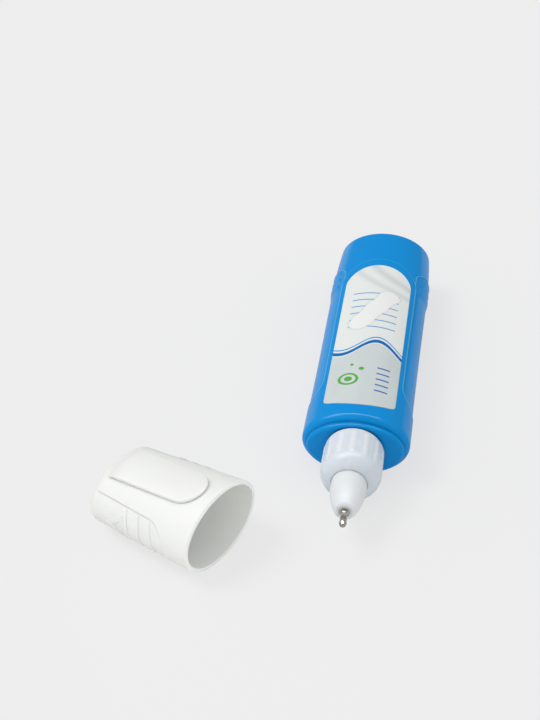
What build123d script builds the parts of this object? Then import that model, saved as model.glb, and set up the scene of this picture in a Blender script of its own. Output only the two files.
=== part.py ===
from build123d import *
import os
from math import atan2, cos, pi, radians, sin, sqrt

# Correction pen lying on its back with its cap pulled off and laid beside it.
# Lengths are in millimetres. +Z is up from the table and the tip points along -Y.
# Along the pen, "ahead" counts from the shoulder towards the tip and "back" towards the base.
# Along the cap, "inside" counts from the mouth towards the closed end.

# Room left between pieces
thread_room = 0.15
running_room = 0.06
seat_room = 0.02
ball_room = 0.1
overrun = 3.0

# Squeeze bottle
bottle_length = 72.0
bottle_thickness = 14.4
shoulder_width = 21.0
waist_width = 21.1
belly_width = 21.2
base_width = 20.0
shoulder_band = 9.6
belly_back = 14.0
bottle_wall = 1.0
shoulder_wall = 1.4
shoulder_round = 1.6
base_round = 2.6
waist_share = 0.5

# Label field, flank panels and grip scales moulded into the bottle
field_width = 16.1
field_dome_back = 50.8
field_step = 0.12
flank_depth = 0.2
flank_length = 50.4
scale_pitch = 2.9
scale_bow = 0.9
scale_height = 7.6
scale_proud = 0.15
scale_root = 0.05
scale_count = 3
bottle_scale_back = 58.8

# Neck of the bottle and its round thread
step_height = 1.1
step_front_room = 0.6
step_round = 0.7
neck_radius = 4.2
neck_length = 6.5
neck_bore_radius = 3.2
thread_pitch = 2.0
thread_bead_radius = 0.45
thread_turns = 2
neck_thread_ahead = 2.0

# Label on the front of the bottle
label_width = 14.0
label_front_back = 4.0
label_dome_back = 49.0
label_thickness = 0.1
label_corner = 1.5
label_bow = 1.5

# Steel ball that stirs the fluid
mixing_ball_radius = 2.4
mixing_ball_back = 12.0

# Gasket and nose
gasket_thickness = 0.5
gasket_width = 0.8
flange_thickness = 1.0
nose_radius = 3.4
nose_length = 8.0
nose_land = 0.9
nose_end_radius = 1.95
nose_end_round = 0.75
skirt_length = 2.6
skirt_wall = 0.7
chamber_radius = 1.9
chamber_roof = 2.0
guide_radius = 0.45

# Screw collar
collar_room = 0.3
collar_radius = 5.9
collar_length = 8.55
collar_cone = 1.65
collar_round = 3.1
collar_back_round = 0.6
grip_count = 14
grip_height = 0.12
grip_round = 1.35
grip_start = 1.45
grip_length = 5.3

# Metal tip
tip_length = 3.75
tip_flange_radius = 1.0
tip_flange_thickness = 0.3
tip_flare_length = 0.5
tip_stem_radius = 0.63
tip_bead_radius = 0.7
tip_bead_length = 0.7
tip_taper_length = 0.5
tip_bead_land = 0.25
tip_lip_radius = 0.52
tip_shank_radius = 0.8
tip_shank_length = 2.8
tip_bore_radius = 0.32
point_ball_radius = 0.4
point_ball_proud = 0.24
valve_travel = 0.3
socket_room = 0.15

# Valve behind the tip
pin_radius = 0.18
plunger_radius = 1.4
plunger_length = 2.0
plunger_grip = 1.4
plunger_spigot = 0.8
spring_radius = 1.15
spring_wire_radius = 0.15
spring_turns = 5
seat_length = 1.4
seat_hole_radius = 0.7
seat_port_radius = 0.4
seat_port_count = 3

# Cap
cap_length = 25.2
cap_mouth_width = 20.7
cap_mouth_thickness = 14.6
cap_end_width = 18.25
cap_end_thickness = 11.6
cap_wall = 0.8
cap_end_wall = 0.8
cap_end_round = 3.1
cap_inner_round = 2.3
cap_lip_round = 0.3
cap_room = 0.05
seal_tube_radius = 2.0
seal_bore_radius = 1.15
seal_room = 0.3
cap_panel_depth = 0.12
cap_panel_height = 8.1
cap_panel_inside = 5.6
cap_scale_inside = 8.4
arrow_length = 4.6
arrow_height = 6.4
arrow_rib = 0.8
arrow_inside = 15.4
arrow_proud = 0.1
clip_width = 8.0
clip_free_gap = 0.12
clip_free_rise = 0.68
clip_root_gap = 0.35
clip_root_rise = 1.1
clip_inside = 2.6
clip_root = 3.4
clip_root_round = 0.3
clip_end_round = 6.0
clip_round = 0.2

# Where the cap lies beside the pen
cap_aside = 21.59
cap_ahead = 26.92
cap_turn = 61.85
cap_roll = 7.9

# Distances along the pen, counted ahead of the shoulder
neck_end = step_height + neck_length
gasket_front = neck_end + seat_room + gasket_thickness
flange_front = gasket_front + flange_thickness
flange_radius = neck_radius
skirt_radius = neck_bore_radius - running_room
skirt_bore_radius = skirt_radius - skirt_wall
collar_back = step_height + collar_room
collar_front = collar_back + collar_length
collar_seat = flange_front + running_room
collar_core_radius = collar_radius - grip_height
collar_bore_radius = neck_radius + thread_bead_radius + thread_room
collar_hole_radius = nose_radius + running_room
nose_start = collar_front + collar_cone
grip_back = collar_back + grip_start
grip_front = grip_back + grip_length
grip_axis_radius = collar_radius - grip_round
nose_curve_start = nose_start + nose_land
nose_end = nose_start + nose_length
seat_back = gasket_front - skirt_length
seat_front = seat_back + seat_length
seat_radius = skirt_bore_radius - seat_room
shank_back = nose_end - tip_shank_length
chamber_front = shank_back - chamber_roof
flare_start = nose_end + tip_flange_thickness
flare_end = flare_start + tip_flare_length
tip_lip = nose_end + tip_length
bead_front = tip_lip - tip_taper_length
bead_middle = bead_front - tip_bead_land
bead_back = bead_front - tip_bead_length
point_ball_drop = point_ball_radius - point_ball_proud
point_ball_ahead = tip_lip - point_ball_drop
socket_radius = point_ball_radius + running_room
socket_back = point_ball_ahead - point_ball_radius - valve_travel - socket_room
lip_bore_radius = sqrt(point_ball_radius**2 - point_ball_drop**2) + seat_room
pin_front = point_ball_ahead - point_ball_radius - seat_room
plunger_front = chamber_front - running_room
plunger_back = plunger_front - plunger_length
spring_back = seat_front + spring_wire_radius + running_room
spring_front = plunger_back - spring_wire_radius - running_room
spring_pitch = (spring_front - spring_back) / spring_turns
mixing_ball_height = bottle_wall + ball_room + mixing_ball_radius
seal_front = nose_end + seal_room

# The laid-out pieces stand with the middle of their bounding box over the origin
turn = radians(cap_turn)
roll = radians(cap_roll)
mouth_half = cap_mouth_width / 2
mouth_rise = cap_mouth_thickness / 2
mouth_rest = sqrt((mouth_half * sin(roll)) ** 2 + (mouth_rise * cos(roll)) ** 2)
end_rest = sqrt((cap_end_width / 2 * sin(roll)) ** 2 + (cap_end_thickness / 2 * cos(roll)) ** 2)
cap_pitch = atan2(mouth_rest - end_rest, cap_length)
mouth_heading = Vector(sin(turn) * cos(cap_pitch), -cos(turn) * cos(cap_pitch), sin(cap_pitch))
mouth_level = Vector(cos(turn), sin(turn), 0)
mouth_across = mouth_level * cos(roll) + mouth_heading.cross(mouth_level) * sin(roll)
cap_lie = Plane(origin=(0, 0, 0), x_dir=mouth_across, z_dir=mouth_heading)
end_half = cap_end_width / 2 - cap_end_round
end_rise = cap_end_thickness / 2 - cap_end_round
end_spread = sqrt((end_half * cap_lie.x_dir.X) ** 2 + (end_rise * cap_lie.y_dir.X) ** 2)
cap_reach = (cap_length - cap_end_round) * cap_lie.z_dir.X + end_spread + cap_end_round
mouth_spread = sqrt((mouth_half * cap_lie.x_dir.Y) ** 2 + (mouth_rise * cap_lie.y_dir.Y) ** 2)
pen_x = (cap_aside + cap_reach - belly_width / 2 - scale_proud) / 2
pen_y = (cap_ahead + mouth_spread - bottle_length) / 2
pen_z = bottle_thickness / 2
cap_z = mouth_rest * cos(cap_pitch)

pen_axis = Axis((pen_x, pen_y, pen_z), (0, -1, 0))
pen_side = Plane(origin=(pen_x, pen_y, pen_z), x_dir=(0, 1, 0), z_dir=(1, 0, 0))
pen_top = Plane(origin=(pen_x, pen_y, pen_z), x_dir=(1, 0, 0), z_dir=(0, 0, 1))
pen_cut = Plane(origin=(pen_x, pen_y, pen_z), x_dir=(0, -1, 0), z_dir=(-1, 0, 0))
cap_mouth = Plane(
    origin=(pen_x - cap_aside, pen_y - cap_ahead, cap_z),
    x_dir=cap_lie.x_dir,
    z_dir=cap_lie.z_dir,
)
cap_side = Plane(origin=cap_mouth.origin, x_dir=-cap_mouth.z_dir, z_dir=cap_mouth.x_dir)
cap_top = Plane(origin=cap_mouth.origin, x_dir=cap_mouth.x_dir, z_dir=cap_mouth.y_dir)
cap_depth = Axis(cap_mouth.origin, -cap_mouth.z_dir)
cap_rise = Axis(cap_mouth.origin, cap_mouth.y_dir)

os.makedirs("parts", exist_ok=True)


def pen_across(ahead):
    """Plane square to the pen at a distance ahead of the shoulder, facing the tip."""
    return Plane(origin=(pen_x, pen_y - ahead, pen_z), x_dir=(1, 0, 0), z_dir=(0, -1, 0))


def bottle_ovals(inset, front, back, mode=Mode.ADD):
    """Loft the bottle's ovals, drawn in by an inset, between two distances behind the shoulder."""
    stations = (
        (front, shoulder_width),
        (shoulder_band, shoulder_width),
        (bottle_length * waist_share, waist_width),
        (bottle_length - belly_back, belly_width),
        (back, base_width),
    )
    ovals = []
    for behind, width in stations:
        with BuildSketch(pen_across(-behind)) as section:
            Ellipse(width / 2 - inset, bottle_thickness / 2 - inset)
        ovals.append(section.sketch)
    loft(ovals, mode=mode)


def cap_oval(inset, distance):
    """The cap's oval, drawn in by an inset, at a distance inside the mouth."""
    share = distance / cap_length
    width = cap_mouth_width + (cap_end_width - cap_mouth_width) * share
    thickness = cap_mouth_thickness + (cap_end_thickness - cap_mouth_thickness) * share
    with BuildSketch(cap_mouth.offset(-distance)) as section:
        Ellipse(width / 2 - inset, thickness / 2 - inset)
    return section.sketch


def cap_ovals(inset, mouth, inside, mode=Mode.ADD):
    """Loft the cap's ovals, drawn in by an inset, between two distances inside the mouth."""
    loft([cap_oval(inset, mouth), cap_oval(inset, inside)], mode=mode)


def helix_point(radius, pitch, ahead, angle):
    """Point and direction of a helix about the pen's axis, after turning through an angle."""
    place = Vector(
        pen_x + radius * cos(angle),
        pen_y - ahead - pitch * angle / (2 * pi),
        pen_z + radius * sin(angle),
    )
    heading = Vector(-radius * sin(angle), -pitch / (2 * pi), radius * cos(angle))
    return place, heading.normalized()


def helix_route(radius, pitch, ahead, turns):
    """Pairs of arcs that follow a helix, a quarter turn to each pair."""
    quarter = pi / 2
    for step in range(4 * turns):
        start, leaving = helix_point(radius, pitch, ahead, step * quarter)
        finish, arriving = helix_point(radius, pitch, ahead, (step + 1) * quarter)
        chord = finish - start
        both = leaving + arriving
        square = both.dot(both) - 4
        along = chord.dot(both)
        reach = (along - sqrt(along**2 - square * chord.dot(chord))) / square
        first = start + leaving * reach
        second = finish - arriving * reach
        middle = (first + second) / 2
        TangentArc(start, middle, tangent=leaving)
        TangentArc(middle, finish, tangent=second - first)


def helix_tube(radius, wire_radius, pitch, ahead, turns, mode=Mode.ADD):
    """Round tube swept along a helix about the pen's axis."""
    start, heading = helix_point(radius, pitch, ahead, 0)
    with BuildLine() as route:
        helix_route(radius, pitch, ahead, turns)
    with BuildSketch(Plane(origin=start, z_dir=heading)) as wire:
        Circle(wire_radius)
    sweep(wire.sketch, path=route.line, mode=mode)


def scale_insets(panel_depth):
    """Insets of a grip scale's slope, just ahead of its leading edge and at its end under the panel."""
    sunk = panel_depth + scale_root
    slope_share = scale_bow / (scale_pitch + scale_bow)
    return -scale_proud - (scale_proud + sunk) * slope_share, sunk


def grip_scale(side, lead, heading, ovals):
    """One bowed scale of a grip, on both flanks, that stands proud at its leading edge and sinks behind it."""
    half = scale_height / 2
    tail = lead + heading * scale_pitch
    bow = heading * scale_bow
    with BuildPart() as scale:
        with BuildSketch(side):
            with BuildLine():
                ThreePointArc((lead + bow, -half), (lead, 0), (lead + bow, half))
                Line((lead + bow, half), (tail + bow, half))
                ThreePointArc((tail + bow, half), (tail, 0), (tail + bow, -half))
                Line((tail + bow, -half), (lead + bow, -half))
            make_face()
        extrude(amount=shoulder_width, both=True)
        loft(ovals, mode=Mode.INTERSECT)
    return scale.part


def bottle_scale(number):
    """One grip scale of the bottle, counted from the base's side, that sinks towards the shoulder."""
    lead = bottle_scale_back - number * scale_pitch
    ahead_inset, tail_inset = scale_insets(flank_depth)
    ovals = []
    for behind, inset in ((lead + scale_bow, ahead_inset), (lead - scale_pitch - scale_bow, tail_inset)):
        with BuildSketch(pen_across(-behind)) as section:
            Ellipse(belly_width / 2 - inset, bottle_thickness / 2 - inset)
        ovals.append(section.sketch)
    return grip_scale(pen_side, lead, -1, ovals)


def cap_scale(number):
    """One grip scale of the cap, counted from the mouth's side, that sinks towards the closed end."""
    lead = cap_scale_inside + number * scale_pitch
    ahead_inset, tail_inset = scale_insets(cap_panel_depth)
    ovals = [cap_oval(ahead_inset, lead - scale_bow), cap_oval(tail_inset, lead + scale_pitch + scale_bow)]
    return grip_scale(cap_side, lead, 1, ovals)


# Skin outside the flank panels, which the bottle loses on both narrow sides
flank_height = bottle_thickness * sqrt(1 - (field_width / shoulder_width) ** 2)
with BuildPart() as flank_skin:
    with BuildSketch(pen_side):
        with Locations((shoulder_band + flank_length / 2, 0)):
            SlotOverall(flank_length, flank_height)
    extrude(amount=shoulder_width, both=True)
    bottle_ovals(flank_depth, 0, bottle_length, mode=Mode.SUBTRACT)

# Skin behind the domed end of the label field, which leaves the field standing slightly proud
with BuildPart() as field_skin:
    with BuildSketch(pen_top):
        field_reach = bottle_length - field_dome_back + overrun
        with Locations((0, field_dome_back + field_reach / 2)):
            Rectangle(shoulder_width + 2 * overrun, field_reach)
        with Locations((0, field_dome_back)):
            Circle(field_width / 2, mode=Mode.SUBTRACT)
    extrude(amount=bottle_thickness, both=True)
    bottle_ovals(field_step, 0, bottle_length, mode=Mode.SUBTRACT)

bottle_scales = [bottle_scale(number) for number in range(scale_count)]

with BuildPart() as bottle:
    bottle_ovals(0, 0, bottle_length)
    fillet(bottle.faces().sort_by(Axis.Y)[-1].edges(), base_round)
    fillet(bottle.faces().sort_by(Axis.Y)[0].edges(), shoulder_round)
    add(flank_skin.part, mode=Mode.SUBTRACT)
    add(field_skin.part, mode=Mode.SUBTRACT)
    add(bottle_scales)
    with BuildSketch(pen_across(-shoulder_round)):
        step_half = mouth_half - cap_wall - cap_room
        Ellipse(step_half, mouth_rise - cap_wall - step_front_room)
    extrude(amount=shoulder_round + step_height)
    fillet(bottle.faces().sort_by(Axis.Y)[0].edges(), step_round)
    with BuildSketch(pen_across(0)):
        Circle(neck_radius)
    extrude(amount=neck_end)
    helix_tube(neck_radius, thread_bead_radius, thread_pitch, neck_thread_ahead, thread_turns)
    bottle_ovals(bottle_wall, shoulder_wall, bottle_length - bottle_wall, mode=Mode.SUBTRACT)
    with BuildSketch(pen_across(neck_end)):
        Circle(neck_bore_radius)
    extrude(amount=-neck_end - shoulder_wall - overrun, mode=Mode.SUBTRACT)
bottle.part.label = "bottle"
export_step(bottle.part, "parts/bottle.step")

with BuildPart() as front_label:
    bottle_ovals(-label_thickness, 0, bottle_length)
    with BuildSketch(pen_top) as label_outline:
        half = label_width / 2
        with BuildLine():
            Line((-half, label_front_back + label_bow), (-half, label_dome_back))
            ThreePointArc((-half, label_dome_back), (0, label_dome_back + half), (half, label_dome_back))
            Line((half, label_dome_back), (half, label_front_back + label_bow))
            ThreePointArc(
                (half, label_front_back + label_bow),
                (0, label_front_back),
                (-half, label_front_back + label_bow),
            )
        make_face()
        fillet(label_outline.vertices().sort_by(Axis.Y)[:2], label_corner)
    extrude(amount=bottle_thickness, mode=Mode.INTERSECT)
    bottle_ovals(0, 0, bottle_length, mode=Mode.SUBTRACT)
front_label.part.label = "front_label"
export_step(front_label.part, "parts/front_label.step")

with BuildPart(Plane(origin=(pen_x, pen_y + mixing_ball_back, mixing_ball_height))) as mixing_ball:
    Sphere(mixing_ball_radius)
mixing_ball.part.label = "mixing_ball"
export_step(mixing_ball.part, "parts/mixing_ball.step")

with BuildPart() as neck_gasket:
    with BuildSketch(pen_across(gasket_front)):
        Circle(neck_radius - running_room)
        Circle(neck_radius - gasket_width, mode=Mode.SUBTRACT)
    extrude(amount=-gasket_thickness)
neck_gasket.part.label = "neck_gasket"
export_step(neck_gasket.part, "parts/neck_gasket.step")

# Nose, turned about the pen's axis, with a chamber for the valve and a socket for the metal tip
with BuildPart() as nose:
    with BuildSketch(pen_cut) as nose_outline:
        with BuildLine():
            Polyline(
                (nose_curve_start, nose_radius),
                (flange_front, nose_radius),
                (flange_front, flange_radius),
                (gasket_front, flange_radius),
                (gasket_front, skirt_radius),
                (seat_back, skirt_radius),
                (seat_back, skirt_bore_radius),
                (seat_front, skirt_bore_radius),
                (seat_front, chamber_radius),
                (chamber_front, chamber_radius),
                (chamber_front, guide_radius),
                (shank_back, guide_radius),
                (shank_back, tip_shank_radius + seat_room),
                (nose_end, tip_shank_radius + seat_room),
                (nose_end, nose_end_radius),
            )
            TangentArc((nose_curve_start, nose_radius), (nose_end, nose_end_radius), tangent=(1, 0))
        make_face()
        fillet(nose_outline.vertices().group_by(Axis.X)[-1].sort_by(Axis.Y)[-1], nose_end_round)
    revolve(axis=pen_axis)
nose.part.label = "nose"
export_step(nose.part, "parts/nose.step")

# Collar that screws over the neck and clamps the flange of the nose, with rounded grip ribs
with BuildPart() as screw_collar:
    with BuildSketch(pen_cut) as collar_outline:
        with BuildLine():
            Polyline(
                (collar_back, 0),
                (collar_back, collar_core_radius),
                (collar_front, collar_core_radius),
                (nose_start, collar_hole_radius),
                (nose_start, 0),
                close=True,
            )
        make_face()
        fillet(collar_outline.vertices().group_by(Axis.Y)[-1].sort_by(Axis.X)[-1], collar_round)
        fillet(collar_outline.vertices().group_by(Axis.X)[0].sort_by(Axis.Y)[-1], collar_back_round)
    revolve(axis=pen_axis)
    with BuildSketch(pen_across(grip_back)):
        with PolarLocations(grip_axis_radius, grip_count, start_angle=90):
            Circle(grip_round)
    extrude(amount=grip_length)
    with Locations(pen_across(grip_back), pen_across(grip_front)):
        with PolarLocations(grip_axis_radius, grip_count, start_angle=90):
            Sphere(grip_round)
    with BuildSketch(pen_cut):
        with BuildLine():
            Polyline(
                (collar_back, 0),
                (collar_back, collar_bore_radius),
                (collar_seat, collar_bore_radius),
                (collar_seat, collar_hole_radius),
                (nose_start, collar_hole_radius),
                (nose_start, 0),
                close=True,
            )
        make_face()
    revolve(axis=pen_axis, mode=Mode.SUBTRACT)
    helix_tube(
        collar_bore_radius,
        thread_bead_radius,
        thread_pitch,
        neck_thread_ahead + thread_pitch / 2,
        thread_turns,
    )
screw_collar.part.label = "screw_collar"
export_step(screw_collar.part, "parts/screw_collar.step")

# Metal tip pressed into the nose, with a socket that keeps the point ball in
with BuildPart() as tip_tube:
    with BuildSketch(pen_cut) as tip_outline:
        with BuildLine():
            Polyline(
                (flare_end, tip_stem_radius),
                (bead_back, tip_stem_radius),
                (bead_middle, tip_bead_radius),
                (bead_front, tip_bead_radius),
                (tip_lip, tip_lip_radius),
                (tip_lip, lip_bore_radius),
                (point_ball_ahead, socket_radius),
                (socket_back, socket_radius),
                (socket_back, tip_bore_radius),
                (shank_back, tip_bore_radius),
                (shank_back, tip_shank_radius),
                (nose_end, tip_shank_radius),
                (nose_end, tip_flange_radius),
                (flare_start, tip_flange_radius),
            )
            TangentArc((flare_end, tip_stem_radius), (flare_start, tip_flange_radius), tangent=(-1, 0))
        make_face()
    revolve(axis=pen_axis)
tip_tube.part.label = "tip_tube"
export_step(tip_tube.part, "parts/tip_tube.step")

with BuildPart(pen_across(point_ball_ahead)) as point_ball:
    Sphere(point_ball_radius)
point_ball.part.label = "point_ball"
export_step(point_ball.part, "parts/point_ball.step")

with BuildPart() as valve_pin:
    with BuildSketch(pen_across(plunger_front - plunger_grip)):
        Circle(pin_radius)
    extrude(amount=pin_front - plunger_front + plunger_grip)
valve_pin.part.label = "valve_pin"
export_step(valve_pin.part, "parts/valve_pin.step")

with BuildPart() as valve_plunger:
    with BuildSketch(pen_across(plunger_front)):
        Circle(plunger_radius)
    extrude(amount=-plunger_length)
    with BuildSketch(pen_across(plunger_back)):
        Circle(spring_radius - spring_wire_radius - running_room)
    extrude(amount=-plunger_spigot)
    with BuildSketch(pen_across(plunger_front)):
        Circle(pin_radius + seat_room)
    extrude(amount=-plunger_grip - seat_room, mode=Mode.SUBTRACT)
valve_plunger.part.label = "valve_plunger"
export_step(valve_plunger.part, "parts/valve_plunger.step")

with BuildPart() as valve_spring:
    helix_tube(spring_radius, spring_wire_radius, spring_pitch, spring_back, spring_turns)
valve_spring.part.label = "valve_spring"
export_step(valve_spring.part, "parts/valve_spring.step")

# Least gap between the spring's turns, measured on points along its wire
turn_steps = 36
coil = []
for step in range(spring_turns * turn_steps + 1):
    coil.append(helix_point(spring_radius, spring_pitch, spring_back, 2 * pi * step / turn_steps)[0])
spans = []
for step, point in enumerate(coil):
    spans.extend((other - point).length for other in coil[step + turn_steps // 2:])
print("least gap between the spring's turns", round(min(spans) - 2 * spring_wire_radius, 3))

with BuildPart() as spring_seat:
    with BuildSketch(pen_across(seat_back)):
        Circle(seat_radius)
        Circle(seat_hole_radius, mode=Mode.SUBTRACT)
        with PolarLocations((seat_radius + seat_hole_radius) / 2, seat_port_count):
            Circle(seat_port_radius, mode=Mode.SUBTRACT)
    extrude(amount=seat_length)
spring_seat.part.label = "spring_seat"
export_step(spring_seat.part, "parts/spring_seat.step")

# Skin outside the flank panels of the cap, which it loses on both narrow sides
with BuildPart() as cap_skin:
    panel_length = cap_length - cap_panel_inside + cap_panel_height
    with BuildSketch(cap_side):
        with Locations((cap_panel_inside + panel_length / 2, 0)):
            SlotOverall(panel_length, cap_panel_height)
    extrude(amount=shoulder_width, both=True)
    cap_ovals(cap_panel_depth, -overrun, cap_length + overrun, mode=Mode.SUBTRACT)

cap_scales = [cap_scale(number) for number in range(scale_count)]

# Raised outline of an arrow on both flanks of the cap
with BuildPart() as cap_arrow:
    with BuildSketch(cap_side):
        with BuildLine():
            Polyline(
                (arrow_inside, -arrow_height / 2),
                (arrow_inside + arrow_length, 0),
                (arrow_inside, arrow_height / 2),
                close=True,
            )
        make_face()
        offset(amount=-arrow_rib, kind=Kind.INTERSECTION, mode=Mode.SUBTRACT)
    extrude(amount=shoulder_width, both=True)
    cap_ovals(-arrow_proud, -overrun, cap_length, mode=Mode.INTERSECT)

# Pocket clip, rooted at the closed end and free towards the mouth
with BuildPart() as cap_clip:
    loft([cap_oval(-clip_free_rise, 0), cap_oval(-clip_root_rise, cap_length)])
    with BuildSketch(cap_top):
        clip_length = cap_length - clip_inside + clip_width
        with Locations((0, clip_inside + clip_length / 2)):
            SlotOverall(clip_length, clip_width, rotation=90)
    extrude(amount=cap_mouth_thickness, mode=Mode.INTERSECT)
    fillet(cap_clip.faces().sort_by(cap_depth)[-1].edges().sort_by(cap_rise)[-1], clip_end_round)
    gap_ovals = [cap_oval(-clip_free_gap, -overrun), cap_oval(-clip_root_gap, cap_length - clip_root)]
    loft(gap_ovals, mode=Mode.SUBTRACT)
    fillet(cap_clip.faces().sort_by(cap_rise)[-1].edges().sort_by(cap_depth)[:-1], clip_round)
    gap_end = cap_clip.faces().filter_by(cap_depth).sort_by(cap_depth)[0]
    fillet(gap_end.edges().sort_by(cap_rise)[-1], clip_root_round)

with BuildPart() as cap_cavity:
    cap_ovals(cap_wall, -overrun, cap_length - cap_end_wall)
    fillet(cap_cavity.faces().sort_by(cap_depth)[-1].edges(), cap_inner_round)

with BuildPart() as cap:
    cap_ovals(0, 0, cap_length)
    fillet(cap.faces().sort_by(cap_depth)[-1].edges(), cap_end_round)
    add(cap_skin.part, mode=Mode.SUBTRACT)
    add(cap_scales)
    add(cap_arrow.part)
    add(cap_clip.part)
    add(cap_cavity.part, mode=Mode.SUBTRACT)
    with BuildSketch(cap_mouth.offset(-seal_front)):
        Circle(seal_tube_radius)
        Circle(seal_bore_radius, mode=Mode.SUBTRACT)
    extrude(amount=-(cap_length - cap_end_wall / 2 - seal_front))
    fillet(cap.faces().sort_by(cap_depth)[0].outer_wire().edges(), cap_lip_round)
cap.part.label = "cap"
export_step(cap.part, "parts/cap.step")
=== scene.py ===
"""Looks of a correction pen that lies with its cap off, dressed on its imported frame."""

import logging
from dataclasses import dataclass
from enum import Enum
from math import atan2, cos, pi, radians, sin
from typing import ClassVar, Union

import bmesh
import bpy
from mathutils import Matrix, Vector


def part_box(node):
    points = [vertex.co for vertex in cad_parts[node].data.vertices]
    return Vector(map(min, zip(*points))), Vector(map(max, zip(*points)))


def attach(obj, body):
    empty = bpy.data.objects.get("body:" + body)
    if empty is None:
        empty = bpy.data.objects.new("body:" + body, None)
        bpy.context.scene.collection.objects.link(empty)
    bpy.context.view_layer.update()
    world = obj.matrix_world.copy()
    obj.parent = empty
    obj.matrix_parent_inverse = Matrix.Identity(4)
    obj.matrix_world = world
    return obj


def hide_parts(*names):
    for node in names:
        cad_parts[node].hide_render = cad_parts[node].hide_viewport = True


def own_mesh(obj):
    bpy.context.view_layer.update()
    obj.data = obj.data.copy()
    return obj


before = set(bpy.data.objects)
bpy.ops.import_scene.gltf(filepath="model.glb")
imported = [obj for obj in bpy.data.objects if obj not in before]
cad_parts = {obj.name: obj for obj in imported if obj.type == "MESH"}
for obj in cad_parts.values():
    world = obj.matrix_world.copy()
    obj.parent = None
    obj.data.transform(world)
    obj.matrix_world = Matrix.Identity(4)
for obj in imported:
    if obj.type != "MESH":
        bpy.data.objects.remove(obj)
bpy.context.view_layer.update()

LOG = logging.getLogger("correction_pen")
MM = 0.001
PER_MM = 1000.0
BOTTLE_LENGTH = 72.0 * MM

Triple = tuple[float, float, float]
Colour = Triple
Number = Union["Wire", float]


class Socket(Enum):
    """What a socket of a node group carries."""

    NUMBER = "NodeSocketFloat"
    VECTOR = "NodeSocketVector"


class Axis(Enum):
    """Which coordinate of a place is read."""

    ACROSS = "X"
    ALONG = "Y"
    UP = "Z"


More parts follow.
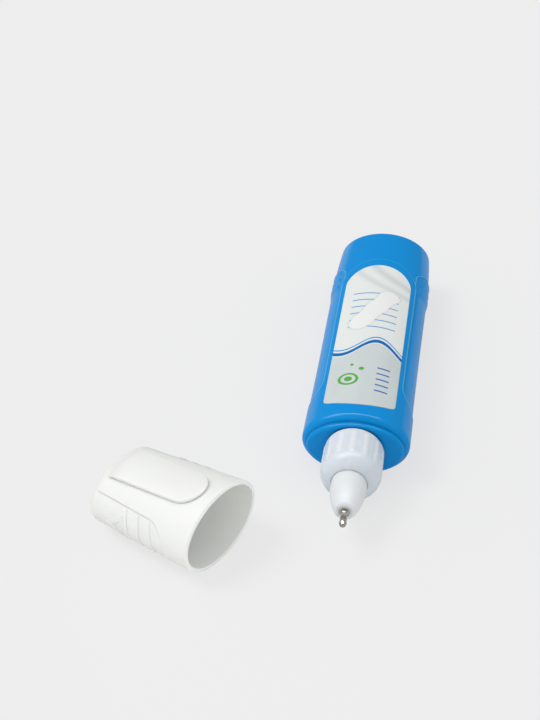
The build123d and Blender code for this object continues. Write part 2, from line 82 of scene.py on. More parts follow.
class Graph:
    """A shader node tree with short calls for the nodes that the finishes use."""

    # Places of the colour sockets on Blender's mixing node, which has sockets of other kinds too
    SHARE_IN: ClassVar[int] = 0
    UNDER_IN: ClassVar[int] = 6
    OVER_IN: ClassVar[int] = 7
    MIXED_OUT: ClassVar[int] = 2

    def __init__(self, tree: bpy.types.NodeTree) -> None:
        """Take the tree that later calls add to."""
        self.tree = tree

    def add(self, kind: str, **settings: object) -> bpy.types.Node:
        """Add a node.

        Args:
            kind: Blender's name for the node.
            settings: Properties to set on it.

        Returns:
            The new node.
        """
        node = self.tree.nodes.new(kind)
        for name, value in settings.items():
            setattr(node, name, value)
        return node

    def feed(self, target: bpy.types.NodeSocket, value: object) -> None:
        """Give a socket a fixed value or join a wire to it."""
        if isinstance(value, Wire):
            self.tree.links.new(value.socket, target)
        else:
            target.default_value = value

    def math(self, operation: str, *values: Number, clamp: bool = False) -> "Wire":
        """Work one sum on numbers that change over the surface.

        Args:
            operation: Blender's name for the sum.
            values: Wires or numbers that go in.
            clamp: Keep the result between 0 and 1.

        Returns:
            The result.
        """
        node = self.add("ShaderNodeMath", operation=operation, use_clamp=clamp)
        for place, value in enumerate(values):
            self.feed(node.inputs[place], value)
        return Wire(self, node.outputs[0])

    def object_place(self, origin: Vector) -> "Wire":
        """Place on the piece in millimetres from an origin of the shared frame."""
        source = self.add("ShaderNodeTexCoord")
        mapping = self.add("ShaderNodeMapping", vector_type="POINT")
        mapping.inputs["Location"].default_value = -origin * PER_MM
        mapping.inputs["Scale"].default_value = (PER_MM, PER_MM, PER_MM)
        self.tree.links.new(source.outputs["Object"], mapping.inputs["Vector"])
        return Wire(self, mapping.outputs["Vector"])

    def part_of(self, place: "Wire", axis: Axis) -> "Wire":
        """One coordinate of a place."""
        node = self.add("ShaderNodeSeparateXYZ")
        self.feed(node.inputs[0], place)
        return Wire(self, node.outputs[axis.value])

    def stretched(self, place: "Wire", factors: Triple) -> "Wire":
        """A place with each coordinate multiplied by a factor."""
        node = self.add("ShaderNodeVectorMath", operation="MULTIPLY")
        self.feed(node.inputs[0], place)
        node.inputs[1].default_value = factors
        return Wire(self, node.outputs[0])

    def noise(self, place: "Wire", per_mm: float, detail: float = 2.0) -> "Wire":
        """Cloudy noise about 0.5.

        Args:
            place: Place in millimetres.
            per_mm: Clouds to a millimetre.
            detail: Octaves of finer noise.

        Returns:
            The noise value.
        """
        node = self.add("ShaderNodeTexNoise", noise_dimensions="3D")
        self.feed(node.inputs["Vector"], place)
        node.inputs["Scale"].default_value = per_mm
        node.inputs["Detail"].default_value = detail
        return Wire(self, node.outputs[0])

    def layer(self, share: Number, under: object, over: object) -> "Wire":
        """Lay one colour over another.

        Args:
            share: How much of the upper colour shows.
            under: Wire or colour below.
            over: Wire or colour above.

        Returns:
            The mixed colour.
        """
        node = self.add("ShaderNodeMix", data_type="RGBA")
        self.feed(node.inputs[self.SHARE_IN], share)
        for socket, colour in ((self.UNDER_IN, under), (self.OVER_IN, over)):
            self.feed(node.inputs[socket], colour if isinstance(colour, Wire) else (*colour, 1.0))
        return Wire(self, node.outputs[self.MIXED_OUT])

    def shaded(self, colour: Colour, shade: "Wire") -> "Wire":
        """A colour multiplied by a shade that changes over the surface."""
        node = self.add("ShaderNodeVectorMath", operation="SCALE")
        node.inputs[0].default_value = colour
        self.feed(node.inputs["Scale"], shade)
        return Wire(self, node.outputs[0])

    def bump(self, height: "Wire", depth: float, normal: "Wire | None" = None) -> "Wire":
        """Surface normal of a height that changes over the surface.

        Args:
            height: Height from 0 to 1.
            depth: Height of 1, in metres.
            normal: Normal to start from, or none for the mesh's own.

        Returns:
            The bumped normal.
        """
        node = self.add("ShaderNodeBump")
        node.inputs["Strength"].default_value = 1.0
        node.inputs["Distance"].default_value = depth
        self.feed(node.inputs["Height"], height)
        if normal is not None:
            self.feed(node.inputs["Normal"], normal)
        return Wire(self, node.outputs["Normal"])

    def group(self, tree: bpy.types.NodeTree, **values: object) -> bpy.types.Node:
        """Place a shared node group.

        Args:
            tree: The group's tree.
            values: Wires or numbers by the names of the group's inputs.

        Returns:
            The group's node.
        """
        node = self.add("ShaderNodeGroup", node_tree=tree)
        for name, value in values.items():
            self.feed(node.inputs[name], value)
        return node


@dataclass
class Wire:
    """A value in a node tree that adds, multiplies and compares as a number does."""

    graph: Graph
    socket: bpy.types.NodeSocket

    def __add__(self, other: Number) -> "Wire":
        """Sum."""
        return self.graph.math("ADD", self, other)

    def __sub__(self, other: Number) -> "Wire":
        """Difference."""
        return self.graph.math("SUBTRACT", self, other)

    def __rsub__(self, other: Number) -> "Wire":
        """Difference from a number."""
        return self.graph.math("SUBTRACT", other, self)

    def __mul__(self, other: Number) -> "Wire":
        """Product."""
        return self.graph.math("MULTIPLY", self, other)

    def __abs__(self) -> "Wire":
        """Size without sign."""
        return self.graph.math("ABSOLUTE", self)

    __radd__ = __add__

    def least(self, other: Number) -> "Wire":
        """The smaller of two."""
        return self.graph.math("MINIMUM", self, other)

    def most(self, other: Number) -> "Wire":
        """The larger of two."""
        return self.graph.math("MAXIMUM", self, other)

    def root(self) -> "Wire":
        """Square root."""
        return self.graph.math("SQRT", self)

    def sine(self) -> "Wire":
        """Sine of an angle in radians."""
        return self.graph.math("SINE", self)

    def repeat(self, pitch: float) -> "Wire":
        """Distance from the nearest of evenly spaced marks."""
        return self.graph.math("PINGPONG", self, pitch / 2)

    def inside(self, soft: float) -> "Wire":
        """Mask that is 1 where this distance is above 0, with a soft edge."""
        return self.graph.math("MULTIPLY_ADD", self, 1.0 / soft, 0.5, clamp=True)

    def line(self, half: float, soft: float) -> "Wire":
        """Mask of a line where this distance is near 0."""
        return (half - abs(self)).inside(soft)


def far_from(across: Wire, along: Wire, at_across: float, at_along: float) -> Wire:
    """Distance on the flat from a point.

    Args:
        across: First coordinate of the place.
        along: Second coordinate of the place.
        at_across: First coordinate of the point.
        at_along: Second coordinate of the point.

    Returns:
        The distance.
    """
    side = across - at_across
    forward = along - at_along
    return (side * side + forward * forward).root()


def new_group(
    name: str, inputs: dict[str, Socket], outputs: dict[str, Socket]
) -> tuple[Graph, dict[str, Wire], bpy.types.Node]:
    """Start a shared shader node group.

    Args:
        name: The group's name.
        inputs: Kinds of input sockets by name.
        outputs: Kinds of output sockets by name.

    Returns:
        The group's graph, its inputs as wires and its output node.
    """
    tree = bpy.data.node_groups.new(name, "ShaderNodeTree")
    for way, sockets in (("INPUT", inputs), ("OUTPUT", outputs)):
        for label, kind in sockets.items():
            tree.interface.new_socket(name=label, in_out=way, socket_type=kind.value)
    graph = Graph(tree)
    source = graph.add("NodeGroupInput")
    wires = {label: Wire(graph, source.outputs[label]) for label in inputs}
    return graph, wires, graph.add("NodeGroupOutput")


@dataclass
class Effects:
    """Node groups that more than one finish uses, each built once."""

    clouds_per_mm: float = 0.14
    cloud_detail: float = 3.0
    smears_per_mm: float = 0.55
    smear_detail: float = 4.0
    smear_stretch: Triple = (1.0, 0.4, 1.0)
    grains_per_mm: float = 5.0
    grain_share: float = 0.05
    waves_per_mm: float = 0.22
    wave_detail: float = 1.0
    wave_share: float = 0.95
    edge_samples: int = 6
    edge_gain: float = 3.0
    crevice_samples: int = 8

    def __post_init__(self) -> None:
        """Build the groups."""
        self.grain = self._moulded_grain()
        self.edges = self._rounded_edges()
        self.crevices = self._dim_crevices()

    def _moulded_grain(self) -> bpy.types.NodeTree:
        """Cloudy tint, uneven gloss and fine grain of a moulded surface."""
        graph, wires, out = new_group(
            "moulded_grain",
            {
                "Place": Socket.VECTOR,
                "Cloud": Socket.NUMBER,
                "Gloss": Socket.NUMBER,
                "Spread": Socket.NUMBER,
            },
            {"Shade": Socket.NUMBER, "Roughness": Socket.NUMBER, "Height": Socket.NUMBER},
        )
        place = wires["Place"]
        cloud = graph.noise(place, self.clouds_per_mm, self.cloud_detail) - 0.5
        smeared = graph.stretched(place, self.smear_stretch)
        smear = graph.noise(smeared, self.smears_per_mm, self.smear_detail) - 0.5
        grain = graph.noise(place, self.grains_per_mm)
        wave = graph.noise(place, self.waves_per_mm, self.wave_detail)
        graph.feed(out.inputs["Shade"], 1.0 + cloud * wires["Cloud"])
        graph.feed(out.inputs["Roughness"], wires["Gloss"] + smear * wires["Spread"])
        graph.feed(out.inputs["Height"], grain * self.grain_share + wave * self.wave_share)
        return graph.tree

    def _rounded_edges(self) -> bpy.types.NodeTree:
        """Normal with the hard edges rounded off, and a mask of those edges."""
        graph, wires, out = new_group(
            "rounded_edges",
            {"Radius": Socket.NUMBER},
            {"Normal": Socket.VECTOR, "Edge": Socket.NUMBER},
        )
        round_off = graph.add("ShaderNodeBevel", samples=self.edge_samples)
        graph.feed(round_off.inputs["Radius"], wires["Radius"])
        rounded = Wire(graph, round_off.outputs["Normal"])
        plain = graph.add("ShaderNodeNewGeometry")
        dot = graph.add("ShaderNodeVectorMath", operation="DOT_PRODUCT")
        graph.feed(dot.inputs[0], rounded)
        graph.feed(dot.inputs[1], Wire(graph, plain.outputs["Normal"]))
        turned = 1.0 - Wire(graph, dot.outputs["Value"])
        graph.feed(out.inputs["Normal"], rounded)
        graph.feed(out.inputs["Edge"], graph.math("MULTIPLY", turned, self.edge_gain, clamp=True))
        return graph.tree

    def _dim_crevices(self) -> bpy.types.NodeTree:
        """Shade that falls where a surface is closed in by others."""
        graph, wires, out = new_group(
            "dim_crevices",
            {"Reach": Socket.NUMBER, "Depth": Socket.NUMBER},
            {"Shade": Socket.NUMBER},
        )
        hollow = graph.add("ShaderNodeAmbientOcclusion", samples=self.crevice_samples)
        graph.feed(hollow.inputs["Distance"], wires["Reach"])
        closed = 1.0 - Wire(graph, hollow.outputs["AO"])
        shade = graph.math("SUBTRACT", 1.0, closed * wires["Depth"], clamp=True)
        graph.feed(out.inputs["Shade"], shade)
        return graph.tree


def new_material(name: str) -> tuple[Graph, bpy.types.Node, bpy.types.Material]:
    """Start a material with one Principled shader.

    Args:
        name: The material's name.

    Returns:
        Its graph, the shader node and the material.
    """
    material = bpy.data.materials.new(name)
    material.use_nodes = True
    graph = Graph(material.node_tree)
    shader = material.node_tree.nodes["Principled BSDF"]
    return graph, shader, material


@dataclass(frozen=True)
class MouldedPlastic:
    """Moulded plastic with cloudy tint, uneven gloss, painted shade in crevices, and softly rounded
    edges with a painted highlight.
    """

    name: str
    colour: Colour
    # Painted highlight: the next colour is laid paler on rounded edges, as if they caught the
    # light.
    highlight_colour: Colour
    gloss: float
    spread: float = 0.12
    cloud: float = 0.08
    edge_highlight_share: float = 0.5
    edge_radius: float = 0.12 * MM
    wave_depth: float = 0.02 * MM
    specular: float = 0.5
    milky: float = 0.0
    milky_depth: float = 0.6 * MM
    crevice_reach: float = 0.8 * MM
    crevice_depth: float = 0.0

    def painted_highlight(self, graph: Graph, place: Wire, edge: Wire) -> Wire:
        """Mask of the painted highlight, which lies on the rounded edges."""
        return edge * self.edge_highlight_share

    def crevices(self, graph: Graph, place: Wire) -> Number:
        """How deep the painted shade in crevices is."""
        return self.crevice_depth

    def make(self, effects: Effects, origin: Vector) -> bpy.types.Material:
        """Make the material.

        Args:
            effects: Shared node groups.
            origin: Where its patterns are centred.

        Returns:
            The material.
        """
        graph, shader, material = new_material(self.name)
        place = graph.object_place(origin)
        grain = graph.group(
            effects.grain, Place=place, Cloud=self.cloud, Gloss=self.gloss, Spread=self.spread
        )
        edges = graph.group(effects.edges, Radius=self.edge_radius)
        painted_highlight = self.painted_highlight(graph, place, Wire(graph, edges.outputs["Edge"]))
        shade = Wire(graph, grain.outputs["Shade"])
        # Painted shade: ambient occlusion darkens the base colour in crevices.
        if self.crevice_depth:
            depth = self.crevices(graph, place)
            crevices = graph.group(effects.crevices, Reach=self.crevice_reach, Depth=depth)
            shade = shade * Wire(graph, crevices.outputs["Shade"])
        tinted = graph.shaded(self.colour, shade)
        # Base colour with the painted highlight laid over the tinted plastic.
        graph.feed(shader.inputs["Base Color"], graph.layer(painted_highlight, tinted, self.highlight_colour))
        graph.feed(shader.inputs["Roughness"], Wire(graph, grain.outputs["Roughness"]))
        height = Wire(graph, grain.outputs["Height"])
        normal = graph.bump(height, self.wave_depth, Wire(graph, edges.outputs["Normal"]))
        graph.feed(shader.inputs["Normal"], normal)
        shader.inputs["Specular IOR Level"].default_value = self.specular
        if self.milky:
            shader.inputs["Subsurface Weight"].default_value = self.milky
            shader.inputs["Subsurface Radius"].default_value = (1.0, 1.0, 1.0)
            shader.inputs["Subsurface Scale"].default_value = self.milky_depth
        return material


@dataclass(frozen=True)
class BottlePlastic(MouldedPlastic):
    """Plastic of the bottle with painted highlight lines on the crests of its label field's and
    flanks' steps, and painted shade in its shoulder groove, in millimetres.
    """

    field_half: float = 8.05
    field_dome: float = 50.8
    flank_front: float = 9.6
    flank_back: float = 60.0
    flank_half: float = 4.62
    highlight_line_half: float = 0.09
    highlight_line_soft: float = 0.1
    highlight_line_share: float = 0.75
    highlight_line_room: float = 0.6
    groove_back: float = 2.5
    groove_soft: float = 1.0

    def crevices(self, graph: Graph, place: Wire) -> Number:
        """How deep the painted shade in crevices is, which is only at the shoulder groove."""
        along = graph.part_of(place, Axis.ALONG)
        return (self.groove_back - along).inside(self.groove_soft) * self.crevice_depth

    def painted_highlight(self, graph: Graph, place: Wire, edge: Wire) -> Wire:
        """Mask of the painted highlight, which lies on the rounded edges and as thin lines on the
        crests of the label field's dome and the flank panels.
        """
        across = graph.part_of(place, Axis.ACROSS)
        along = graph.part_of(place, Axis.ALONG)
        up = graph.part_of(place, Axis.UP)
        dome = far_from(across, along, 0.0, self.field_dome) - self.field_half
        behind = (along - self.field_dome).inside(self.highlight_line_soft)
        middle = (self.flank_front + self.flank_back) / 2
        straight = (self.flank_back - self.flank_front) / 2 - self.flank_half
        past = (abs(along - middle) - straight).most(0.0)
        flank = (up * up + past * past).root() - self.flank_half - self.highlight_line_half
        aside = (abs(across) - self.field_half + self.highlight_line_room).inside(self.highlight_line_soft)
        # Painted highlight lines along the step crests, as if they caught the light.
        highlight_lines = dome.line(self.highlight_line_half, self.highlight_line_soft) * behind
        highlight_lines = highlight_lines.most(flank.line(self.highlight_line_half, self.highlight_line_soft) * aside)
        return (edge * self.edge_highlight_share).most(highlight_lines * self.highlight_line_share)


@dataclass(frozen=True)
class CollarPlastic(MouldedPlastic):
    """Plastic of the collar with a painted highlight on the tops of its grip ribs, in millimetres.
    """

    rib_foot: float = 5.81
    rib_soft: float = 0.06
    rib_share: float = 0.8

    def painted_highlight(self, graph: Graph, place: Wire, edge: Wire) -> Wire:
        """Mask of the painted highlight, which lies on the rounded edges and the rib tops."""
        across = graph.part_of(place, Axis.ACROSS)
        up = graph.part_of(place, Axis.UP)
        proud = far_from(across, up, 0.0, 0.0) - self.rib_foot
        # Rib tops are painted paler as a highlight, instead of being lit through their low relief.
        return (edge * self.edge_highlight_share).most(proud.inside(self.rib_soft) * self.rib_share)


@dataclass(frozen=True)
class TurnedMetal:
    """Bright metal with the fine rings that turning leaves along the pen's axis."""

    name: str
    colour: Colour
    gloss: float
    rings_per_mm: float = 9.0
    ring_detail: float = 3.0
    ring_stretch: Triple = (0.05, 1.0, 0.05)
    ring_depth: float = 0.004 * MM
    ring_dulling: float = 0.14
    stain: Colour = (0.16, 0.14, 0.12)
    stains_per_mm: float = 1.6
    stain_detail: float = 3.0
    stain_from: float = 0.52
    stain_gain: float = 1.6

    def make(self, origin: Vector) -> bpy.types.Material:
        """Make the material with its rings square to the pen's axis at an origin."""
        graph, shader, material = new_material(self.name)
        place = graph.object_place(origin)
        turned = graph.stretched(place, self.ring_stretch)
        rings = graph.noise(turned, self.rings_per_mm, self.ring_detail)
        patches = graph.noise(place, self.stains_per_mm, self.stain_detail)
        stained = graph.math("MULTIPLY", patches - self.stain_from, self.stain_gain, clamp=True)
        graph.feed(shader.inputs["Base Color"], graph.layer(stained, self.colour, self.stain))
        graph.feed(shader.inputs["Roughness"], self.gloss + rings * self.ring_dulling)
        graph.feed(shader.inputs["Normal"], graph.bump(rings, self.ring_depth))
        shader.inputs["Metallic"].default_value = 1.0
        return material


@dataclass(frozen=True)
class SoftRubber:
    """Dull rubber with a dusty bloom."""

    name: str
    colour: Colour
    bloom: Colour
    blooms_per_mm: float = 1.2
    bloom_detail: float = 4.0
    bloom_from: float = 0.4
    bloom_gain: float = 0.8
    bloom_depth: float = 0.02 * MM
    gloss: float = 0.62
    spread: float = 0.3

    def make(self, origin: Vector) -> bpy.types.Material:
        """Make the material with its bloom centred at an origin."""
        graph, shader, material = new_material(self.name)
        place = graph.object_place(origin)
        dust = graph.noise(place, self.blooms_per_mm, self.bloom_detail)
        share = graph.math("MULTIPLY", dust - self.bloom_from, self.bloom_gain, clamp=True)
        graph.feed(shader.inputs["Base Color"], graph.layer(share, self.colour, self.bloom))
        graph.feed(shader.inputs["Roughness"], self.gloss + dust * self.spread)
        graph.feed(shader.inputs["Normal"], graph.bump(dust, self.bloom_depth))
        return material


@dataclass(frozen=True)
class Swing:
    """Sine wave of the print, in millimetres and radians."""

    turn_per_mm: float
    start: float
    height: float

    def at(self, place: Wire) -> Wire:
        """How far the wave swings at a place."""
        return (place * self.turn_per_mm + self.start).sine() * self.height


@dataclass(frozen=True)
class Spot:
    """Round spot of the print, in millimetres."""

    across: float
    along: float
    radius: float

    def within(self, across: Wire, along: Wire) -> Wire:
        """Distance inside the spot's rim."""
        return self.radius - far_from(across, along, self.across, self.along)


@dataclass(frozen=True)
class RowOfLines:
    """Evenly spaced lines of the print inside a box, in millimetres."""

    first: float
    pitch: float
    half: float
    middle_along: float
    reach_along: float
    reach_across: float
    middle_across: float = 0.0

    def mask(self, across: Wire, along: Wire, soft: float) -> Wire:
        """Mask of the lines.

        Args:
            across: Place across the film.
            along: Place along the film.
            soft: Width of the lines' soft edge.

        Returns:
            The mask.
        """
        rows = (along - self.first).repeat(self.pitch).line(self.half, soft)
        span = (self.reach_along - abs(along - self.middle_along)).inside(soft)
        sides = (self.reach_across - abs(across - self.middle_across)).inside(soft)
        return rows.least(span).least(sides)


@dataclass(frozen=True)
class PrintedFilm:
    """Satin label film with a plain print of waves, lines, dots and ticks, drawn in millimetres."""

    name: str = "label_print"
    pale: Colour = (0.85, 0.89, 0.87)
    white: Colour = (0.93, 0.94, 0.93)
    silver: Colour = (0.62, 0.68, 0.69)
    blue: Colour = (0.0, 0.16, 0.53)
    light_blue: Colour = (0.0, 0.30, 0.72)
    green: Colour = (0.12, 0.46, 0.07)
    crisp: float = 0.08
    hazy: float = 1.6
    wave: Swing = Swing(turn_per_mm=0.46, start=0.7, height=2.3)
    wave_along: float = 23.0
    broad_behind: float = 0.9
    broad_half: float = 0.55
    fine_behind: float = 2.3
    fine_half: float = 0.2
    rules: RowOfLines = RowOfLines(
        first=31.4, pitch=2.6, half=0.15, middle_along=38.0, reach_along=7.5, reach_across=4.9
    )
    stroke_along: float = 38.0
    stroke_slope: float = radians(63.0)
    stroke_half: float = 6.2
    stroke_width: float = 2.1
    stroke_rise: float = 0.4
    ripple: Swing = Swing(turn_per_mm=1.15, start=0.5, height=0.16)
    shadow_reach: float = 0.25
    shadow_soft: float = 0.6
    shadow_share: float = 0.6
    ticks: RowOfLines = RowOfLines(
        first=9.3,
        pitch=1.9,
        half=0.2,
        middle_along=13.1,
        reach_along=4.6,
        reach_across=1.3,
        middle_across=3.8,
    )
    ring: Spot = Spot(-2.9, 12.4, 1.75)
    ring_half: float = 0.28
    dots: tuple[Spot, ...] = (Spot(-2.9, 12.4, 0.8), Spot(-0.6, 16.0, 0.55), Spot(-2.6, 17.3, 0.38))
    inner_arc: Spot = Spot(10.5, 61.5, 13.2)
    inner_half: float = 0.8
    outer_arc: Spot = Spot(10.5, 61.5, 17.0)
    outer_half: float = 0.5
    arc_share: float = 0.75
    pearls_per_mm: float = 0.5
    pearl_stretch: Triple = (0.6, 0.16, 0.6)
    pearl_share: float = 0.35
    silver_pearl_share: float = 0.5
    cloud: float = 0.06
    gloss: float = 0.34
    spread: float = 0.1
    ink_polish: float = 0.08
    bump_depth: float = 0.012 * MM
    specular: float = 0.3

    def waves(self, across: Wire, along: Wire) -> tuple[Wire, Wire, Wire]:
        """Line between the two grounds and the two strokes that follow it.

        Args:
            across: Place across the film.
            along: Place along the film.

        Returns:
            Mask of the silver ground, of the broad stroke and of the fine stroke.
        """
        off = along - self.wave.at(across) - self.wave_along
        ground = (0.0 - off).inside(self.crisp)
        broad = (off - self.broad_behind).line(self.broad_half, self.crisp)
        fine = (off - self.fine_behind).line(self.fine_half, self.crisp)
        return ground, broad, fine

    def stroke(self, across: Wire, along: Wire) -> Wire:
        """Distance inside the painted stroke that slants over the ruled lines."""
        forward = along - self.stroke_along
        lengthwise = across * cos(self.stroke_slope) + forward * sin(self.stroke_slope)
        sideways = across * sin(self.stroke_slope) - forward * cos(self.stroke_slope)
        past = (abs(lengthwise) - self.stroke_half).most(0.0)
        far = (sideways * sideways + past * past).root()
        return self.stroke_width + self.ripple.at(lengthwise) - far

    def drops(self, across: Wire, along: Wire) -> Wire:
        """Mask of a ring with a dot in it and two smaller dots beside it."""
        mask = self.ring.within(across, along).line(self.ring_half, self.crisp)
        for dot in self.dots:
            mask = mask.most(dot.within(across, along).inside(self.crisp))
        return mask

    def arcs(self, across: Wire, along: Wire) -> Wire:
        """Mask of two soft arcs in the domed end."""
        inner = self.inner_arc.within(across, along).line(self.inner_half, self.hazy)
        outer = self.outer_arc.within(across, along).line(self.outer_half, self.hazy)
        return inner.most(outer)

    def make(self, effects: Effects, origin: Vector) -> bpy.types.Material:
        """Make the material.

        Args:
            effects: Shared node groups.
            origin: Middle of the bottle's shoulder, from which the print is drawn.

        Returns:
            The material.
        """
        graph, shader, material = new_material(self.name)
        place = graph.object_place(origin)
        across, along = graph.part_of(place, Axis.ACROSS), graph.part_of(place, Axis.ALONG)
        grain = graph.group(
            effects.grain, Place=place, Cloud=self.cloud, Gloss=self.gloss, Spread=self.spread
        )
        ground, broad, fine = self.waves(across, along)
        stroke = self.stroke(across, along)
        painted = stroke.inside(self.crisp)
        shadow = (stroke + self.shadow_reach).inside(self.shadow_soft)
        pearl = graph.noise(graph.stretched(place, self.pearl_stretch), self.pearls_per_mm)
        silver = graph.layer(pearl * self.silver_pearl_share, self.silver, self.pale)
        fine = fine.most(self.rules.mask(across, along, self.crisp) * (1.0 - painted))
        inks = broad.most(self.ticks.mask(across, along, self.crisp))
        green = self.drops(across, along)
        colour = graph.layer(pearl * self.pearl_share, self.pale, self.white)
        colour = graph.layer(self.arcs(across, along) * self.arc_share, colour, self.silver)
        colour = graph.layer(ground, colour, silver)
        colour = graph.layer(fine, colour, self.light_blue)
        colour = graph.layer(shadow * self.shadow_share, colour, self.silver)
        colour = graph.layer(painted, colour, self.white)
        colour = graph.layer(inks, colour, self.blue)
        colour = graph.layer(green, colour, self.green)
        graph.feed(shader.inputs["Base Color"], colour)
        printed = inks.most(fine).most(green)
        dull = Wire(graph, grain.outputs["Roughness"])
        graph.feed(shader.inputs["Roughness"], dull - printed * self.ink_polish)
        height = Wire(graph, grain.outputs["Height"]) + painted * self.stroke_rise
        graph.feed(shader.inputs["Normal"], graph.bump(height, self.bump_depth))
        shader.inputs["Specular IOR Level"].default_value = self.specular
        return material


def put_in_order(shape: bmesh.types.BMesh) -> None:
    """Number points, edges and faces by where they lie, so that each run gives the same mesh."""
    for place, point in enumerate(sorted(shape.verts, key=lambda point: tuple(point.co))):
        point.index = place
    shape.verts.sort()
    for parts in (shape.edges, shape.faces):
        ranked = sorted(parts, key=lambda part: sorted(point.index for point in part.verts))
        for place, part in enumerate(ranked):
            part.index = place
        parts.sort()


def mesh_of(name: str, shape: bmesh.types.BMesh) -> bpy.types.Mesh:
    """Turn a finished bmesh into a mesh of that name."""
    put_in_order(shape)
    mesh = bpy.data.meshes.new(name)
    shape.to_mesh(mesh)
    shape.free()
    return mesh


def put(name: str, data: bpy.types.ID) -> bpy.types.Object:
    """Put a mesh, a lamp or a camera in the scene as an object of that name."""
    thing = bpy.data.objects.new(name, data)
    bpy.context.scene.collection.objects.link(thing)
    return thing


def facing(spot: Vector, back: Vector) -> Matrix:
    """Where a lamp or camera stands, and which way its back is turned."""
    return Matrix.Translation(spot) @ back.to_track_quat("Z", "Y").to_matrix().to_4x4()


def dress(material: bpy.types.Material, *nodes: str) -> None:
    """Give CAD nodes a material.

    Args:
        material: What they are dressed in.
        nodes: Names of the nodes.
    """
    for name in nodes:
        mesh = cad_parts[name].data
        mesh.materials.clear()
        mesh.materials.append(material)
        LOG.info("%s is dressed in %s", name, material.name)


def add_piece(
    name: str, shape: bmesh.types.BMesh, material: bpy.types.Material, body: str
) -> bpy.types.Object:
    """Turn a finished bmesh into a piece that rides on a body.

    Args:
        name: The piece's name.
        shape: Its mesh, in place in the shared frame.
        material: What it is dressed in.
        body: The CAD body that carries it.

    Returns:
        The new object.
    """
    mesh = mesh_of(name, shape)
    mesh.materials.append(material)
    piece = put(name, mesh)
    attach(piece, body)
    LOG.info("%s rides on %s", name, body)
    return piece


@dataclass
class Bottle:
    """Blue squeeze bottle with its label and its stirring ball."""

    effects: Effects
    shoulder: Vector
    plastic: BottlePlastic = BottlePlastic(
        "bottle_blue",
        colour=(0.0, 0.295, 0.755),
        highlight_colour=(0.12, 0.50, 0.86),
        gloss=0.2,
        spread=0.08,
        edge_highlight_share=0.25,
        specular=0.2,
        crevice_reach=0.5 * MM,
        # Painted shade darkens the shoulder groove.
        crevice_depth=1.35,
        wave_depth=0.012 * MM,
    )
    film: PrintedFilm = PrintedFilm()
    ball: TurnedMetal = TurnedMetal("stirring_steel", (0.58, 0.57, 0.55), 0.18, rings_per_mm=2.0)

    def dress(self) -> None:
        """Dress the bottle, its label and the ball inside."""
        dress(self.plastic.make(self.effects, self.shoulder), "bottle")
        dress(self.film.make(self.effects, self.shoulder), "front_label")
        dress(self.ball.make(self.shoulder), "mixing_ball")


@dataclass
class ValveSpring:
    """Coil spring of the valve, wound as a wire about the pen's axis."""

    material: bpy.types.Material
    wire: float = 0.15 * MM
    wire_sides: int = 12
    turns: int = 5
    steps_per_turn: int = 32
    push: float = 0.3 * MM

    def wind(self, low: Vector, high: Vector) -> bmesh.types.BMesh:
        """Wind the wire about the pen's axis.

        Args:
            low: Lowest corner of the space that the spring fills.
            high: Highest corner of that space.

        Returns:
            The spring's mesh.
        """
        middle = (low + high) / 2
        radius = (high.x - low.x) / 2 - self.wire
        climb = high.y - low.y - 2 * self.wire
        steps = self.turns * self.steps_per_turn
        slope = atan2(climb / self.turns, 2 * pi * radius)
        spot = Vector((middle.x + radius, high.y - self.wire, middle.z))
        start = Matrix.Translation(spot) @ Matrix.Rotation(slope, 4, "X")
        shape = bmesh.new()
        ring = bmesh.ops.create_circle(
            shape, segments=self.wire_sides, radius=self.wire, matrix=start
        )
        bmesh.ops.spin(
            shape,
            geom=ring["verts"] + list(shape.edges),
            cent=middle,
            axis=(0.0, -1.0, 0.0),
            dvec=(0.0, -climb / steps, 0.0),
            angle=self.turns * 2 * pi,
            steps=steps,
        )
        ends = [edge for edge in shape.edges if edge.is_boundary]
        bmesh.ops.holes_fill(shape, edges=ends, sides=self.wire_sides)
        bmesh.ops.recalc_face_normals(shape, faces=list(shape.faces))
        for face in shape.faces:
            face.smooth = True
        return shape

    def fit(self) -> None:
        """Put the spring in place of the stiff one."""
        low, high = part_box("valve_spring")
        shape = self.wind(low, high)
        piece = add_piece("valve_spring_coil", shape, self.material, "nozzle")
        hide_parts("valve_spring")
        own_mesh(piece)


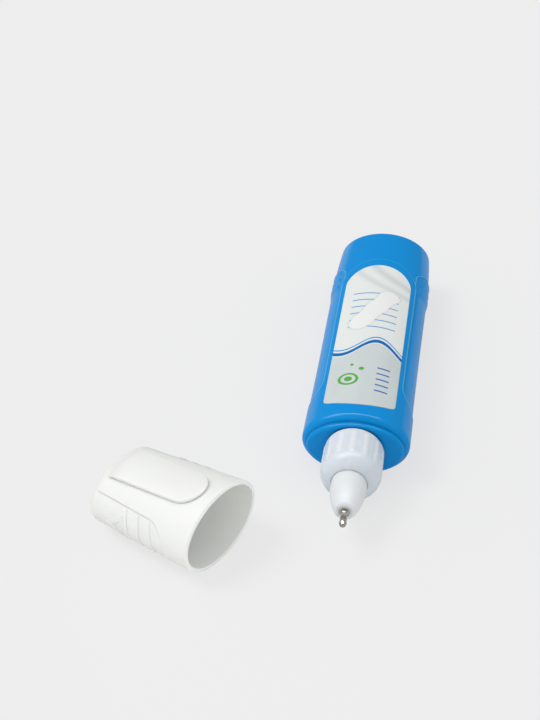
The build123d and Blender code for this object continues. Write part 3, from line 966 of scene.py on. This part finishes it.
@dataclass
class Nozzle:
    """Collar, nose, metal tip and the valve inside them."""

    effects: Effects
    shoulder: Vector
    collar: CollarPlastic = CollarPlastic(
        "collar_milky",
        colour=(0.76, 0.82, 0.89),
        highlight_colour=(0.86, 0.905, 0.95),
        gloss=0.28,
        edge_radius=0.1 * MM,
        specular=0.35,
        milky=0.5,
        milky_depth=0.9 * MM,
        # Painted shade darkens the collar's crevices.
        crevice_depth=0.35,
    )
    nose: MouldedPlastic = MouldedPlastic(
        "nose_white",
        colour=(0.83, 0.86, 0.885),
        highlight_colour=(0.88, 0.90, 0.92),
        gloss=0.36,
        specular=0.3,
        milky=0.7,
        milky_depth=1.6 * MM,
    )
    natural: MouldedPlastic = MouldedPlastic(
        "valve_natural",
        colour=(0.78, 0.78, 0.74),
        highlight_colour=(0.86, 0.86, 0.82),
        gloss=0.42,
        edge_radius=0.06 * MM,
    )
    tip: TurnedMetal = TurnedMetal("tip_nickel", (0.60, 0.57, 0.52), 0.14)
    steel: TurnedMetal = TurnedMetal("valve_steel", (0.56, 0.56, 0.56), 0.2, rings_per_mm=5.0)
    rubber: SoftRubber = SoftRubber("gasket_black", (0.03, 0.03, 0.032), (0.12, 0.12, 0.12))

    def dress(self) -> None:
        """Dress every piece ahead of the shoulder."""
        dress(self.collar.make(self.effects, self.shoulder), "screw_collar")
        dress(self.nose.make(self.effects, self.shoulder), "nose")
        dress(self.natural.make(self.effects, self.shoulder), "valve_plunger", "spring_seat")
        dress(self.tip.make(self.shoulder), "tip_tube")
        steel = self.steel.make(self.shoulder)
        dress(steel, "point_ball", "valve_pin", "valve_spring")
        ValveSpring(steel).fit()
        dress(self.rubber.make(self.shoulder), "neck_gasket")


@dataclass
class Cap:
    """White cap with its pocket clip, laid beside the pen."""

    effects: Effects
    shoulder: Vector
    plastic: MouldedPlastic = MouldedPlastic(
        "cap_white",
        colour=(0.89, 0.90, 0.875),
        highlight_colour=(0.895, 0.905, 0.88),
        gloss=0.45,
        cloud=0.03,
        edge_radius=0.2 * MM,
        specular=0.25,
        milky=0.8,
        milky_depth=0.5 * MM,
    )

    def dress(self) -> None:
        """Dress the cap."""
        dress(self.plastic.make(self.effects, self.shoulder), "cap")


@dataclass
class Studio:
    """Pale floor, soft light and the camera."""

    shoulder: Vector
    lit: Vector
    azimuth: float = 8.3
    elevation: float = 34.7
    distance: float = 0.3326
    lens: float = 76.7
    look_aside: float = -22.0 * MM
    look_behind: float = 36.95 * MM
    near_clip: float = 0.01
    far_clip: float = 20.0
    floor_half: float = 3.0
    floor_shade: float = 0.863
    floor_glow: float = 0.78
    horizon: float = 0.05
    zenith: float = 0.70
    sides: float = 0.7
    mirrored_share: float = 0.55
    key_strength: float = 0.96
    key_spread: float = 24.0
    key_from: Triple = (-0.68, 0.0, 1.0)
    front_strength: float = 0.06
    front_spread: float = 7.0
    front_from: Triple = (-0.15, -0.72, 0.68)
    card_power: float = 0.0018
    card_size: float = 60.0 * MM
    card_beam: float = 44.0
    card_aside: float = -8.0 * MM
    card_ahead: float = 72.0 * MM
    card_height: float = 22.0 * MM
    strip_power: float = 1.5
    strip_length: float = 500.0 * MM
    strip_width: float = 20.0 * MM
    strip_behind: float = 90.0 * MM
    strip_height: float = 450.0 * MM

    def set_up(self) -> None:
        """Set the camera, the floor and every light."""
        self.set_camera()
        self.lay_floor()
        self.light_room()
        self.hang_sun("key", self.key_strength, self.key_spread, self.key_from)
        self.hang_sun("front", self.front_strength, self.front_spread, self.front_from)
        self.set_card()
        self.hang_strip()

    def set_camera(self) -> None:
        """Set the camera where the photograph was taken from."""
        turn, rise = radians(self.azimuth), radians(self.elevation)
        back = Vector((sin(turn) * cos(rise), -cos(turn) * cos(rise), sin(rise)))
        aside, behind = self.shoulder.x + self.look_aside, self.shoulder.y + self.look_behind
        look_at = Vector((aside, behind, 0.0))
        data = bpy.data.cameras.new("camera")
        data.lens = self.lens
        data.clip_start, data.clip_end = self.near_clip, self.far_clip
        camera = put("camera", data)
        camera.matrix_world = facing(look_at + back * self.distance, back)
        bpy.context.scene.camera = camera

    def rays(self, graph: Graph) -> tuple[Wire, Wire, Wire]:
        """Sort the rays that meet a surface.

        Args:
            graph: Graph of the surface.

        Returns:
            Mask of rays that see the surface straight on or through a clear piece, mask of mirrored
            rays, and the strength that is shown, which is lower to mirrored rays.
        """
        light_path = graph.add("ShaderNodeLightPath")
        straight = Wire(graph, light_path.outputs["Is Camera Ray"])
        straight = straight.most(Wire(graph, light_path.outputs["Is Transmission Ray"]))
        mirrored = Wire(graph, light_path.outputs["Is Glossy Ray"])
        return straight, mirrored, 1.0 - mirrored * (1.0 - self.mirrored_share)

    def lay_floor(self) -> None:
        """Lay a wide pale floor that keeps a light shadow."""
        shape = bmesh.new()
        bmesh.ops.create_grid(shape, x_segments=1, y_segments=1, size=self.floor_half)
        mesh = mesh_of("floor", shape)
        floor = put("floor", mesh)
        graph, shader, material = new_material("floor_pale")
        pale = (self.floor_shade, self.floor_shade, self.floor_shade, 1.0)
        shader.inputs["Base Color"].default_value = pale
        shader.inputs["Roughness"].default_value = 1.0
        shader.inputs["Specular IOR Level"].default_value = 0.0
        glow = graph.add("ShaderNodeEmission")
        glow.inputs["Color"].default_value = pale
        straight, mirrored, shown = self.rays(graph)
        graph.feed(glow.inputs["Strength"], shown)
        blend = graph.add("ShaderNodeMixShader")
        graph.feed(blend.inputs[0], straight.most(mirrored) * self.floor_glow)
        graph.feed(blend.inputs[1], Wire(graph, shader.outputs[0]))
        graph.feed(blend.inputs[2], Wire(graph, glow.outputs[0]))
        surface = material.node_tree.nodes["Material Output"].inputs["Surface"]
        graph.feed(surface, Wire(graph, blend.outputs[0]))
        mesh.materials.append(material)

    def light_room(self) -> None:
        """Light the room from a bright ceiling and sides, and show it as pale as the floor."""
        world = bpy.data.worlds.new("studio")
        world.use_nodes = True
        graph = Graph(world.node_tree)
        heading = Wire(graph, graph.add("ShaderNodeTexCoord").outputs["Generated"])
        height = graph.part_of(heading, Axis.UP).most(0.0)
        aside = graph.part_of(heading, Axis.ACROSS)
        bright = height * (self.zenith - self.horizon) + self.horizon + aside * aside * self.sides
        straight, _, shown = self.rays(graph)
        strength = bright * shown * (1.0 - straight) + straight * self.floor_shade
        backdrop = world.node_tree.nodes["Background"]
        backdrop.inputs["Color"].default_value = (1.0, 1.0, 1.0, 1.0)
        graph.feed(backdrop.inputs["Strength"], strength)
        bpy.context.scene.world = world

    def hang_sun(self, name: str, strength: float, spread: float, come_from: Triple) -> None:
        """Hang a far, soft lamp.

        Args:
            name: The lamp's name.
            strength: Its strength.
            spread: Its width in degrees.
            come_from: Direction it shines from.
        """
        data = bpy.data.lights.new(name, "SUN")
        data.energy = strength
        data.angle = radians(spread)
        put(name, data).matrix_world = facing(Vector(), Vector(come_from))

    def set_card(self) -> None:
        """Set a small glowing card by the tip, which lights what faces away from the key."""
        data = bpy.data.lights.new("card", "AREA")
        data.shape = "DISK"
        data.size = self.card_size
        data.energy = self.card_power
        data.spread = radians(self.card_beam)
        lamp = put("card", data)
        lamp.visible_camera = False
        lamp.visible_glossy = False
        ahead = self.shoulder.y - self.card_ahead
        spot = Vector((self.shoulder.x + self.card_aside, ahead, self.card_height))
        lamp.matrix_world = facing(spot, spot - self.lit)

    def hang_strip(self) -> None:
        """Hang a narrow strip over the shoulder, which shows only as a shine on rounded edges."""
        data = bpy.data.lights.new("strip", "AREA")
        data.shape = "RECTANGLE"
        data.size = self.strip_length
        data.size_y = self.strip_width
        data.energy = self.strip_power
        lamp = put("strip", data)
        lamp.visible_camera = False
        lamp.visible_diffuse = False
        up = Vector((0.0, self.strip_behind, self.strip_height))
        lamp.matrix_world = facing(self.shoulder + up, up)


def main() -> None:
    """Dress the pen and set the studio."""
    logging.basicConfig(level=logging.INFO, format="%(message)s")
    bpy.context.scene.view_settings.view_transform = "Standard"
    ball_low, ball_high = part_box("point_ball")
    middle = (ball_low + ball_high) / 2
    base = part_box("bottle")[1].y
    shoulder = Vector((middle.x, base - BOTTLE_LENGTH, middle.z))
    cap_low, cap_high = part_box("cap")
    Studio(shoulder, lit=(cap_low + cap_high) / 2).set_up()
    effects = Effects()
    for assembly in (Bottle(effects, shoulder), Nozzle(effects, shoulder), Cap(effects, shoulder)):
        assembly.dress()


if __name__ == "__main__":
    main()
